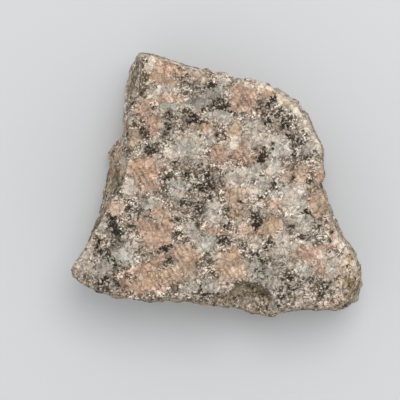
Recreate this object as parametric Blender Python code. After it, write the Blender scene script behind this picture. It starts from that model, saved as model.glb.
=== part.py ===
"""Rough rock: one broken lump of coarse pink granite, lying on its flattest face.

The stone is one solid. Its outline seen from above is a closed run of straight breaks, its wall leans in
above and below the widest line, flat breaks and hollows are cut from it, and crystal faces roughen it.
All shape functions work in millimetres. The frame has +Z up, and its origin is under the middle of the
stone, on the surface that it rests on.
"""

import itertools
import math

import bmesh
import bpy
import numpy as np

METRES_PER_MM = 0.001

# Driving dimensions, in millimetres: the stone's height, the height of the flat core that it is measured
# out from, the core's share of the outline, and the stone's middle, which is moved to the origin.
HEIGHT = 34.0
CORE_LEVEL = 0.48 * HEIGHT
CORE_SHARE = 0.6
MIDDLE = (-0.03, -0.07)

# The outline at the widest line of the wall, seen from above, clockwise from the pointed far-left corner.
# Each side ends where the next one starts.
FAR_SIDE = [
    (-23.0, 39.0), (-19.5, 38.0), (-13.0, 36.0), (-7.0, 34.0), (0.5, 32.0),
    (4.5, 30.5), (14.0, 29.0), (18.5, 26.5), (23.0, 23.5),
]
RIGHT_SIDE = [
    (23.0, 23.5), (25.5, 20.0), (27.5, 16.0), (29.5, 11.5), (30.5, 7.0), (31.0, 2.0), (30.0, 0.0),
    (32.5, -4.5), (34.0, -9.5), (37.0, -15.0), (41.0, -20.0), (43.0, -25.0), (44.0, -30.0), (43.0, -32.5),
]
NEAR_SIDE = [
    (43.0, -32.5), (40.0, -34.5), (37.5, -36.0), (31.0, -36.5), (25.5, -36.0), (18.0, -36.5), (15.5, -37.5),
    (8.0, -37.0), (3.5, -35.5), (-7.0, -33.5), (-19.5, -33.0), (-31.0, -31.5), (-37.5, -29.5),
    (-41.5, -26.5), (-42.0, -25.0),
]
LEFT_SIDE = [
    (-42.0, -25.0), (-42.0, -23.5), (-40.0, -21.0), (-37.0, -16.0), (-34.5, -10.5), (-33.5, -6.5),
    (-33.0, -3.0), (-31.5, 0.5), (-31.0, 4.5), (-31.0, 9.5), (-29.0, 11.5), (-27.0, 14.5),
    (-27.0, 24.0), (-26.0, 29.5), (-25.0, 34.0), (-23.0, 39.0),
]
CORNER_SOFTNESS = 0.6

# How the wall stands, by direction from the middle in degrees, counted from +X towards +Y: the height of
# the widest line, and how far the wall leans in from there up to the top and down to the base.
WALL_FACES = [
    (-34.0, 10.0, 5.5, 4.5),
    (-20.0, 12.0, 3.5, 5.5),
    (-2.0, 14.0, 2.0, 6.5),
    (20.0, 15.0, 1.5, 6.0),
    (42.0, 13.0, 2.0, 3.0),
    (60.0, 18.0, 1.5, 4.5),
    (76.0, 23.0, 1.0, 6.5),
    (112.0, 20.0, 1.5, 4.5),
    (119.0, 14.0, 3.0, 3.0),
    (127.0, 9.0, 6.5, 1.5),
    (136.0, 8.0, 4.5, 1.0),
    (146.0, 7.0, 3.0, 1.0),
    (156.0, 6.0, 4.0, 1.0),
    (164.0, 6.0, 6.0, 1.0),
    (184.0, 8.0, 5.5, 1.5),
    (196.0, 13.0, 2.5, 5.0),
    (206.0, 18.0, 1.5, 7.5),
    (218.0, 25.0, 1.0, 9.5),
    (262.0, 25.0, 1.5, 7.5),
    (281.0, 10.0, 3.0, 2.0),
    (298.0, 13.0, 2.0, 5.5),
    (314.0, 11.0, 2.5, 5.0),
]
FURTHEST_LEAN = 1.3

# Flat breaks: a point on each, the direction that it faces, and its tilt from level, 180 facing down.
FLAT_BREAKS = {
    "main top": ((0.0, 0.0, 31.9), -70.0, 1.4),
    "near-right shoulder": ((29.0, -26.0, 30.4), -55.0, 15.0),
    "near-left shoulder": ((-32.0, -22.0, 30.8), 215.0, 12.0),
    "right shoulder": ((30.6, -4.0, 31.4), 0.0, 30.0),
    "far-right rim": ((22.9, 20.6, 32.4), 42.0, 42.0),
    "far rim": ((-3.7, 32.0, 32.4), 76.5, 36.0),
    "near edge": ((-12.0, -33.0, 32.0), 266.0, 50.0),
    "near-right corner": ((40.5, -30.5, 20.0), -34.0, 72.0),
    "under near-left corner": ((-31.0, -24.0, 7.0), 226.0, 138.0),
    "under near side": ((-8.0, -31.0, 8.0), 262.0, 126.0),
    "under right side": ((34.0, -12.0, 5.0), -14.0, 136.0),
    "under far side": ((8.0, 27.0, 6.0), 80.0, 128.0),
    "under far-left corner": ((-22.0, 31.0, 3.5), 124.0, 142.0),
}
BREAK_SOFTNESS = 0.5

# Hollows where a flake came away: the centre and the three half-sizes of each.
HOLLOWS = {
    "near scoop": ((9.0, -37.0, 31.5), (8.0, 10.0, 13.0)),
    "right nick": ((34.5, -1.0, 25.0), (4.5, 7.0, 12.0)),
    "far flake": ((13.0, 38.0, 10.0), (17.0, 9.5, 10.0)),
    "left flake": ((-38.4, 3.0, 24.0), (7.0, 11.0, 9.0)),
    "left chip": ((-44.0, -14.0, 8.0), (8.0, 12.0, 9.0)),
    "under flake": ((12.0, 4.0, -9.5), (17.0, 13.0, 11.0)),
}
HOLLOW_SOFTNESS = 0.6

# The rough underside is sunk in, so that it rests only on a few worn spots: the middle and radius of each.
BASE_RELIEF = 1.1
BASE_LEAST = 0.15
BASE_PRESS = 0.3
SPOT_SPREAD = 1.6
SPOT_WANDER = 0.7
RESTING_SPOTS = [
    ((-23.0, -15.0), 5.5),
    ((27.0, -20.0), 6.0),
    ((19.0, 16.0), 5.0),
    ((-17.0, 20.0), 5.5),
]

# The roughness of the breaks: the size of each kind of unevenness, with its height or its steepest tilt.
SWELL_SIZE, SWELL_HEIGHT = 21.0, 0.8
LUMP_SIZE, LUMP_HEIGHT = 6.5, 0.26
PLATE_SIZE, PLATE_TILT = 10.5, 0.09
CRYSTAL_SIZE, CRYSTAL_TILT = 4.2, 0.16
PLATE_SHARPNESS = 45.0
CENTRE_RANGE = (0.1, 0.9)
LEAST_WEIGHT = 1e-12
TABLE_SIDE = 32
SEED = 11

# How the surface is found along each ray: the furthest reach and the steps to it, then the halvings, the
# step over which its slope is read, and the least that the surface counts as facing the ray.
FURTHEST = 1.8
COARSE_STEPS = 36
HALVINGS = 12
NORMAL_STEP = 0.05
LEAST_FACING = 0.45

# The grid of the solid: rows across the top and base, rows up the wall, and the tolerance of its cuts.
GRID_ACROSS = 33
GRID_UP = 15
CUT_TOLERANCE = 1e-6

STONE_COLOUR = (0.42, 0.33, 0.26, 1.0)
STONE_ROUGHNESS = 0.75


def outline_side(points, shares):
    """Points of one side of the outline at these shares of its length, along straight breaks."""
    points = np.array(points)
    steps = np.hypot(*np.diff(points, axis=0).T)
    along = np.concatenate([[0.0], np.cumsum(steps)])
    at = shares * along[-1]
    return np.stack([np.interp(at, along, points[:, 0]), np.interp(at, along, points[:, 1])], axis=-1)


def outline_point(turn):
    """The outline point at a turn from 0 to 4, one unit for each side, with its corners a little worn."""
    sides = [FAR_SIDE, RIGHT_SIDE, NEAR_SIDE, LEFT_SIDE]
    lengths = [np.hypot(*np.diff(np.array(side), axis=0).T).sum() for side in sides]
    total = np.zeros((len(turn), 2))
    reaches = (-1.0, 0.0, 1.0)
    for reach in reaches:
        side = np.floor(turn).astype(int) % 4
        shifted = turn + reach * CORNER_SOFTNESS / np.take(lengths, side)
        side = np.floor(shifted).astype(int) % 4
        share = shifted - np.floor(shifted)
        for number, points in enumerate(sides):
            here = side == number
            total[here] += outline_side(points, share[here])
    return total / len(reaches)


def value_noise(points, size, seed):
    """Smooth unevenness: random heights from -1 to 1 on a cubic lattice, blended between its corners."""
    heights = np.random.default_rng(seed).uniform(-1.0, 1.0, (TABLE_SIDE,) * 3)
    place = points / size
    cell = np.floor(place).astype(int)
    share = place - cell
    share = share * share * (3.0 - 2.0 * share)
    total = np.zeros(len(points))
    for corner in itertools.product((0, 1), repeat=3):
        x, y, z = ((cell + corner) % TABLE_SIDE).T
        weight = np.prod(np.where(corner, share, 1.0 - share), axis=1)
        total += weight * heights[x, y, z]
    return total


def broken_plates(points, size, tilt, seed):
    """Broken faces: space is shared among scattered centres, and near each the height is a tilted plane."""
    random = np.random.default_rng(seed)
    centres = random.uniform(*CENTRE_RANGE, (TABLE_SIDE, TABLE_SIDE, TABLE_SIDE, 3))
    slopes = random.uniform(-tilt, tilt, (TABLE_SIDE, TABLE_SIDE, TABLE_SIDE, 3))
    place = points / size
    cell = np.floor(place).astype(int)
    height = np.zeros(len(points))
    weights = np.full(len(points), LEAST_WEIGHT)
    for step in itertools.product((-1, 0, 1), repeat=3):
        at = cell + step
        x, y, z = (at % TABLE_SIDE).T
        away = place - at - centres[x, y, z]
        weight = np.exp(-PLATE_SHARPNESS * (away**2).sum(axis=1))
        height += weight * (away * slopes[x, y, z]).sum(axis=1)
        weights += weight
    return size * height / weights


def resting_height(points, normals, height):
    """The roughness, sunk in on the base so that only its resting spots reach the surface."""
    spots = np.zeros(len(points))
    wander = SPOT_WANDER * value_noise(points, LUMP_SIZE, SEED + 4)
    for (x, y), radius in RESTING_SPOTS:
        away = np.hypot(points[:, 0] - x, points[:, 1] - y) / radius
        share = np.clip(SPOT_SPREAD + wander - away, 0.0, 1.0)
        spots = np.maximum(spots, share * share * (3.0 - 2.0 * share))
    down = np.clip(-normals[:, 2], 0.0, 1.0) ** 2
    sunk = np.minimum(height - BASE_RELIEF, -BASE_LEAST)
    return height + down * ((1.0 - spots) * sunk + spots * BASE_PRESS - height)


def smooth_max(a, b, softness):
    """The larger of two fields, with the edge between them rounded over about the softness."""
    share = np.clip(0.5 + 0.5 * (a - b) / softness, 0.0, 1.0)
    return b + (a - b) * share + softness * share * (1.0 - share)


def wall_field(points, outline):
    """Distance outside the wall: its radius is the outline's, less a lean that grows away from the widest line."""
    azimuth = np.degrees(np.arctan2(outline[:, 1], outline[:, 0]))
    faces = np.array(WALL_FACES)
    level, lean_up, lean_down = (
        np.interp(azimuth, faces[:, 0], column, period=360.0) for column in faces[:, 1:].T
    )
    height = points[:, 2]
    above = np.clip((height - level) / (HEIGHT - level), 0.0, FURTHEST_LEAN)
    below = np.clip((level - height) / level, 0.0, FURTHEST_LEAN)
    lean = lean_up * above + lean_down * below
    return np.hypot(points[:, 0], points[:, 1]) - np.hypot(*outline.T) + lean


def flat_break_field(points, place, azimuth, tilt):
    """Distance outside a flat break through a point, facing an azimuth and tilted from level."""
    azimuth, tilt = math.radians(azimuth), math.radians(tilt)
    normal = (math.sin(tilt) * math.cos(azimuth), math.sin(tilt) * math.sin(azimuth), math.cos(tilt))
    return (points - place) @ np.array(normal)


def hollow_field(points, centre, half_sizes):
    """About the distance inside an ellipsoid, so that it is positive where the flake came away."""
    spread = np.linalg.norm((points - centre) / half_sizes, axis=1)
    return (1.0 - spread) * min(half_sizes)


def roughness(points):
    """Height of the broken surface: swells, lumps and the tilted faces of plates and single crystals."""
    return (
        SWELL_HEIGHT * value_noise(points, SWELL_SIZE, SEED)
        + LUMP_HEIGHT * value_noise(points, LUMP_SIZE, SEED + 1)
        + broken_plates(points, PLATE_SIZE, PLATE_TILT, SEED + 2)
        + broken_plates(points, CRYSTAL_SIZE, CRYSTAL_TILT, SEED + 3)
    )


def stone_field(points, outline):
    """Distance outside the smooth stone: the greatest of its wall, flat breaks, hollows and base."""
    field = wall_field(points, outline)
    for place, azimuth, tilt in FLAT_BREAKS.values():
        field = smooth_max(field, flat_break_field(points, place, azimuth, tilt), BREAK_SOFTNESS)
    for centre, half_sizes in HOLLOWS.values():
        field = smooth_max(field, hollow_field(points, centre, half_sizes), HOLLOW_SOFTNESS)
    return smooth_max(field, -points[:, 2], BREAK_SOFTNESS)


def first_crossing(core, out, outline):
    """How many times out each ray from the core goes before it first leaves the smooth stone."""
    low, high = np.zeros(len(core)), np.full(len(core), FURTHEST)
    leaving = np.zeros(len(core), bool)
    for reach in np.linspace(0.0, FURTHEST, COARSE_STEPS + 1)[1:]:
        outside = stone_field(core + out * reach, outline) > 0.0
        high = np.where(outside & ~leaving, reach, high)
        leaving |= outside
        low = np.where(leaving, low, reach)
    for _ in range(HALVINGS):
        middle = (low + high) / 2.0
        outside = stone_field(core + out * middle[:, None], outline) > 0.0
        low, high = np.where(outside, low, middle), np.where(outside, middle, high)
    return low


def stone_normals(points, outline):
    """The way that the smooth stone faces at each point: the slope of its field."""
    slopes = [
        stone_field(points + step, outline) - stone_field(points - step, outline)
        for step in np.eye(3) * NORMAL_STEP
    ]
    return np.stack(slopes, axis=1) / np.linalg.norm(slopes, axis=0)[:, None]


def stone_points(box):
    """Each point of a cube from -1 to 1 carried out to the stone's surface.

    A cube point's larger of |x| and |y| is its share of the way out to the outline, and its place round
    the cube is its place round the outline. From a flat core it moves straight out, first until it leaves
    the smooth stone, and then by the height of the roughness there, so no two points can cross.
    """
    x, y, up = box.T
    share = np.maximum(np.abs(x), np.abs(y))
    safe = np.where(share > 0.0, share, 1.0)
    u, v = x / safe, y / safe
    turn = np.select(
        [(v >= 1.0) & (u < 1.0), (u >= 1.0) & (v > -1.0), (v <= -1.0) & (u > -1.0)],
        [(u + 1.0) / 2.0, 1.0 + (1.0 - v) / 2.0, 2.0 + (1.0 - u) / 2.0],
        3.0 + (v + 1.0) / 2.0,
    )
    outline = outline_point(turn)
    rim = outline * share[:, None]
    core = np.column_stack([CORE_SHARE * rim, np.full(len(box), CORE_LEVEL)])
    out = np.column_stack([(1.0 - CORE_SHARE) * rim, up * HEIGHT / 2.0])
    points = core + out * first_crossing(core, out, outline)[:, None]
    way = out / np.linalg.norm(out, axis=1)[:, None]
    normals = stone_normals(points, outline)
    facing = np.clip((way * normals).sum(axis=1), LEAST_FACING, 1.0)
    height = resting_height(points, normals, roughness(points))
    points = points + way * (height / facing)[:, None]
    points[:, 2] = np.maximum(points[:, 2], 0.0)
    points[:, :2] -= MIDDLE
    return points


def stone_material():
    """Plain warm grey-pink stone."""
    material = bpy.data.materials.new("granite")
    material.use_nodes = True
    shader = material.node_tree.nodes["Principled BSDF"]
    shader.inputs["Base Color"].default_value = STONE_COLOUR
    shader.inputs["Roughness"].default_value = STONE_ROUGHNESS
    return material


def gridded_cube():
    """A cube from -1 to 1, cut into a grid with fewer rows up its wall than across it."""
    mesh = bmesh.new()
    bmesh.ops.create_cube(mesh, size=2.0)
    for axis, rows in enumerate((GRID_ACROSS, GRID_ACROSS, GRID_UP)):
        for row in range(1, rows):
            place, normal = [0.0] * 3, [0.0] * 3
            place[axis], normal[axis] = 2.0 * row / rows - 1.0, 1.0
            everything = mesh.verts[:] + mesh.edges[:] + mesh.faces[:]
            bmesh.ops.bisect_plane(mesh, geom=everything, dist=CUT_TOLERANCE, plane_co=place, plane_no=normal)
    return mesh


def make_rock():
    """The whole stone, as one object."""
    mesh = gridded_cube()
    box = np.array([vertex.co for vertex in mesh.verts])
    for vertex, point in zip(mesh.verts, stone_points(box) * METRES_PER_MM):
        vertex.co = point
    bmesh.ops.triangulate(mesh, faces=mesh.faces[:])
    data = bpy.data.meshes.new("rough_rock")
    mesh.to_mesh(data)
    mesh.free()
    data.materials.append(stone_material())
    rock = bpy.data.objects.new("rough_rock", data)
    bpy.context.scene.collection.objects.link(rock)
    return rock


def main():
    for obj in list(bpy.data.objects):
        bpy.data.objects.remove(obj)
    make_rock()


main()
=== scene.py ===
"""Rough rock, dressed: one broken lump of coarse pink granite at full detail, on a plain pale floor.

The stone is worked out by the same shape rules as the solid, on a finer grid, with the relief of its single
grains added. Its minerals are fields over the surface, in millimetres, which the granite material reads.
All shape functions work in millimetres.
"""
import itertools
import math

import bpy
import numpy as np
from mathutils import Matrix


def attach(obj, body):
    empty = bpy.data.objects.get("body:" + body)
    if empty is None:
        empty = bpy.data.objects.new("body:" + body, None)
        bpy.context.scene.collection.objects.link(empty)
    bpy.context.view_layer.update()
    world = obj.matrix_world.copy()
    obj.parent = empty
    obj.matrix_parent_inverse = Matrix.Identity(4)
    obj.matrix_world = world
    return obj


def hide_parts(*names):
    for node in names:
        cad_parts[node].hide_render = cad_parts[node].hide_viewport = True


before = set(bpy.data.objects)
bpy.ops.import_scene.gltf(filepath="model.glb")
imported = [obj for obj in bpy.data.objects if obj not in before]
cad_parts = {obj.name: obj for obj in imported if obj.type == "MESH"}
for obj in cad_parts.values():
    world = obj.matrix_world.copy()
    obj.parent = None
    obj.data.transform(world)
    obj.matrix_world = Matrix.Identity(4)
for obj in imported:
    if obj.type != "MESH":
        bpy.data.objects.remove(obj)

METRES_PER_MM = 0.001

# The stone's height, the height of the flat core that it is measured out from, the core's share of the
# outline, and the stone's middle, which is moved to the origin.
HEIGHT = 34.0
CORE_LEVEL = 0.48 * HEIGHT
CORE_SHARE = 0.6
MIDDLE = (-0.03, -0.07)

# The outline at the widest line of the wall, seen from above, clockwise from the pointed far-left corner.
FAR_SIDE = [
    (-23, 39), (-19.5, 38), (-13, 36), (-7, 34), (0.5, 32), (4.5, 30.5), (14, 29), (18.5, 26.5), (23, 23.5),
]
RIGHT_SIDE = [
    (23, 23.5), (25.5, 20), (27.5, 16), (29.5, 11.5), (30.5, 7), (31, 2), (30, 0), (32.5, -4.5), (34, -9.5),
    (37, -15), (41, -20), (43, -25), (44, -30), (43, -32.5),
]
NEAR_SIDE = [
    (43, -32.5), (40, -34.5), (37.5, -36), (31, -36.5), (25.5, -36), (18, -36.5), (15.5, -37.5), (8, -37),
    (3.5, -35.5), (-7, -33.5), (-19.5, -33), (-31, -31.5), (-37.5, -29.5), (-41.5, -26.5), (-42, -25),
]
LEFT_SIDE = [
    (-42, -25), (-42, -23.5), (-40, -21), (-37, -16), (-34.5, -10.5), (-33.5, -6.5), (-33, -3),
    (-31.5, 0.5), (-31, 4.5), (-31, 9.5), (-29, 11.5), (-27, 14.5), (-27, 24), (-26, 29.5), (-25, 34),
    (-23, 39),
]
CORNER_SOFTNESS = 0.6

# How the wall stands, by direction from the middle in degrees: the height of the widest line, and how far
# the wall leans in from there up to the top and down to the base.
WALL_FACES = [
    (-34, 10, 5.5, 4.5), (-20, 12, 3.5, 5.5), (-2, 14, 2, 6.5), (20, 15, 1.5, 6), (42, 13, 2, 3),
    (60, 18, 1.5, 4.5), (76, 23, 1, 6.5), (112, 20, 1.5, 4.5), (119, 14, 3, 3), (127, 9, 6.5, 1.5),
    (136, 8, 4.5, 1), (146, 7, 3, 1), (156, 6, 4, 1), (164, 6, 6, 1), (184, 8, 5.5, 1.5), (196, 13, 2.5, 5),
    (206, 18, 1.5, 7.5), (218, 25, 1, 9.5), (262, 25, 1.5, 7.5), (281, 10, 3, 2), (298, 13, 2, 5.5),
    (314, 11, 2.5, 5),
]
FURTHEST_LEAN = 1.3

# Flat breaks: a point on each, the direction that it faces, and its tilt from level, 180 facing down.
FLAT_BREAKS = {
    "main top": ((0, 0, 31.9), -70, 1.4),
    "near-right shoulder": ((29, -26, 30.4), -55, 15),
    "near-left shoulder": ((-32, -22, 30.8), 215, 12),
    "right shoulder": ((30.6, -4, 31.4), 0, 30),
    "far-right rim": ((22.9, 20.6, 32.4), 42, 42),
    "far rim": ((-3.7, 32, 32.4), 76.5, 36),
    "near edge": ((-12, -33, 32), 266, 50),
    "near-right corner": ((40.5, -30.5, 20), -34, 72),
    "under near-left corner": ((-31, -24, 7), 226, 138),
    "under near side": ((-8, -31, 8), 262, 126),
    "under right side": ((34, -12, 5), -14, 136),
    "under far side": ((8, 27, 6), 80, 128),
    "under far-left corner": ((-22, 31, 3.5), 124, 142),
}
BREAK_SOFTNESS = 0.5

# Hollows where a flake came away: the centre and the three half-sizes of each.
HOLLOWS = {
    "near scoop": ((9, -37, 31.5), (8, 10, 13)),
    "right nick": ((34.5, -1, 25), (4.5, 7, 12)),
    "far flake": ((13, 38, 10), (17, 9.5, 10)),
    "left flake": ((-38.4, 3, 24), (7, 11, 9)),
    "left chip": ((-44, -14, 8), (8, 12, 9)),
    "under flake": ((12, 4, -9.5), (17, 13, 11)),
}
HOLLOW_SOFTNESS = 0.6

# The rough underside is sunk in, so that it rests only on a few worn spots: the middle and radius of each.
BASE_RELIEF = 1.1
BASE_LEAST = 0.15
BASE_PRESS = 0.3
SPOT_SPREAD = 1.6
SPOT_WANDER = 0.7
RESTING_SPOTS = [
    ((-23, -15), 5.5),
    ((27, -20), 6),
    ((19, 16), 5),
    ((-17, 20), 5.5),
]

# The roughness of the breaks: the size of each kind of unevenness, with its height or its steepest tilt.
SWELL_SIZE, SWELL_HEIGHT = 21.0, 0.8
LUMP_SIZE, LUMP_HEIGHT = 6.5, 0.26
PLATE_SIZE, PLATE_TILT = 10.5, 0.09
CRYSTAL_SIZE, CRYSTAL_TILT = 4.2, 0.16
PLATE_SHARPNESS = 45.0
CENTRE_RANGE = (0.1, 0.9)
LEAST_WEIGHT = 1e-12
TABLE_SIDE = 32
SEED = 11
# Each kind of chance draws from its own seed.
SWELL_SEED, LUMP_SEED, PLATE_SEED, CRYSTAL_SEED, SPOT_SEED, GRAIN_SEED, GRIT_SEED, CRUMB_SEED = range(
    SEED, SEED + 8
)
WARP_SEED, MINERAL_SEED, SKIN_SEED = SEED + 20, SEED + 40, SEED + 60

# The relief of single grains, which only this finer grid can hold, and how far the soft mica is worn in, with
# how far outside its grains that starts.
GRAIN_SIZE, GRAIN_TILT = 2.3, 0.24
GRIT_SIZE, GRIT_TILT = 1.25, 0.3
GRAIN_DOME = 0.35
CRUMB_SIZE, CRUMB_HEIGHT = 1.1, 0.07
MICA_SINK, MICA_MARGIN = 0.3, 0.3
QUARTZ_CALM = 0.5
WALL_CALM = 0.5

# How the surface is found along each ray: the furthest reach and the steps to it, then the halvings, the
# step over which its slope is read, and the least that the surface counts as facing the ray.
FURTHEST = 1.8
COARSE_STEPS = 36
HALVINGS = 12
NORMAL_STEP = 0.05
LEAST_FACING = 0.45

# The fine grid: cells across the top and base, and cells up the wall.
CELLS_ACROSS = 164
CELLS_UP = 56

# Grains on the top break, as they lie seen from above: the middle, the length and width, and the turn of
# the length in degrees from +X towards +Y.
PINK_FELDSPAR = [
    (7.5, 24, 7.5, 7.5, 0), (13.5, 26, 3.5, 3.5, 0), (-20.5, 22, 4.5, 4, 0), (-15, 33, 9.5, 3.5, -3),
    (-14, 24.5, 7.5, 2.5, 0), (-18.5, 17.5, 4.5, 5, 0), (-20.5, 4, 9.5, 6.5, -5), (-19, 0, 6, 3, 0),
    (0.5, 8, 5, 3.5, 80), (7, 8, 5.5, 6, 0), (-17.5, -14.5, 10, 7.5, -40), (-16, -7.5, 4, 3, 0),
    (-14, -11, 4, 3, 80), (-20.5, -23.4, 15, 3, 17), (-25.5, -28, 4, 3.5, 60), (-19, -29.5, 8.5, 3, 8),
    (27, -20, 8.5, 4, 5), (29.5, -23.5, 5.5, 3, 100), (28.5, 2.5, 4, 3, 80), (8, -13, 5.5, 3, 0),
    (0.5, -13, 5, 2, -5), (16.5, -5.5, 3.5, 3, 0), (10.5, 7.5, 2, 3, 90), (32.5, -9.5, 3.5, 1.5, 100),
    (31.5, -17.5, 5, 1.5, 0),
]
TAN_FELDSPAR = [
    (-14.5, 33.5, 8.5, 4, -3), (-16.5, 30, 7.5, 2.5, -10), (-3.5, 16.2, 5.5, 2.4, -5), (5, 14.5, 4, 4.5, 0),
    (5, -3.5, 5.5, 5, 0), (5, -7.5, 3.5, 4, 0), (-9.5, -20, 7.5, 6.5, -20), (-10.5, -25, 9, 4, 0),
    (-18.5, -27.7, 14, 5.5, 3), (3.5, -23, 8.5, 7.5, 0), (15, -12.5, 6, 5, 0), (23, 3, 6.5, 3.5, 0),
    (28.5, -5.5, 7.5, 5, 100), (-5, 31.5, 5, 2, -8), (-30, -6, 6, 3.5, 0), (34.5, -15, 4.5, 3, -45),
    (34, -32.5, 4.5, 2, 20), (39, -24.5, 5.5, 2, 95), (-24.5, 13.5, 4.5, 3.5, 90),
]
PALE_FELDSPAR = [
    (9.5, 16.6, 6, 4.5, -30), (12.4, 12.8, 5.5, 4.5, -10), (4.5, 1.5, 5.5, 4, 80), (-15, 27, 7.5, 3.4, 0),
    (-19, 26.2, 3.5, 5, 0), (-3, 12, 5.5, 5, 0), (-12.5, 9, 5, 3.5, -10), (18.5, -16.5, 6, 4, 95),
    # Three of these, at (21, 21.5), (24, 18) and (26.5, 13.5), lie along the far-right rim as painted
    # highlight.
    (12, -16.5, 4.5, 3.5, 0), (10, -1.5, 5.5, 4, 0), (19.5, -5.5, 8.5, 3, -20), (21, 21.5, 4.5, 3, -30),
    (24, 18, 5, 2.5, -50), (26.5, 13.5, 4.5, 2, -60), (-24.5, -1, 5, 4, 90), (-0.5, -9.5, 4.5, 4, 0),
    (-19, 33.5, 3.5, 3.5, 0), (22, -1.5, 6, 4, 0), (24.5, 10, 5, 3, 0), (31.5, -21.5, 4.5, 4, 0),
    (15, 12.5, 3.5, 3, 0), (31.5, -26, 5, 2, 20), (22.5, -17.6, 4.5, 3.5, 0), (24, -12.2, 3.5, 3, 0),
    (12.8, 11.3, 4, 2.6, 0), (-16.5, 1.3, 3, 3, 0), (-33, -25.5, 4, 3.5, 0), (-38, -23, 5, 4, 0),
    (-36.5, -19.5, 5, 3, 60), (17, 12, 5, 4.5, 0), (18.5, 9, 4, 3, 0), (14.5, 6, 4, 1.8, 90),
    (18.8, -17.5, 5, 5, 0), (4.5, 11.5, 5, 4, 0), (9, 10.5, 4, 3, 0), (25.5, -16.5, 4, 3, 0),
    (1.5, 29.6, 4.5, 2, -15), (6.5, 3, 5.5, 4.5, 0), (22, -7, 4.5, 4, 0), (9, 14.5, 4, 3.5, -30),
    (16.5, -4.5, 7, 1.5, -22),
]
QUARTZ = [
    (-9, 11, 6.5, 5.5, 0), (-6, 23, 7.5, 4.5, 5), (17.5, 10.5, 6.5, 5.5, 0), (16, 4.5, 6.5, 4.5, 90),
    (9.5, 3.5, 5, 4, 0), (13, 0, 4, 3.5, 0), (-11, 0, 5.5, 3.5, 0), (-12, -3, 4, 3, 0),
    (-1, -7.5, 5.5, 3.5, 0), (-3, -15.5, 7.5, 5, 0), (-7, -12.5, 3.5, 3, 0), (-2, -28, 6, 4, 0),
    (-7.5, -28.5, 4.5, 4, 0), (24.5, -10.5, 6, 6, 0), (23, -6, 5.5, 4.5, 0), (17.5, -2.5, 4.5, 3.5, 0),
    (-26.5, -20.3, 7, 5.5, 40), (13, -24, 8.5, 6.5, 0), (24.5, -23, 5.5, 3.5, 0), (16, -28, 4.5, 4, 90),
    (34.5, -24, 4, 3.5, 0), (-32, -21.5, 4, 3.5, 90), (-19, -5.5, 5, 3.5, 0), (-0.5, 26, 4, 3, 90),
    (1.5, 27.5, 4.5, 3.5, 90), (2, 19.5, 4.5, 4, 0), (-13.5, 22.5, 5.5, 3, 0), (-32, -12, 4.5, 4, 0),
]
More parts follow.
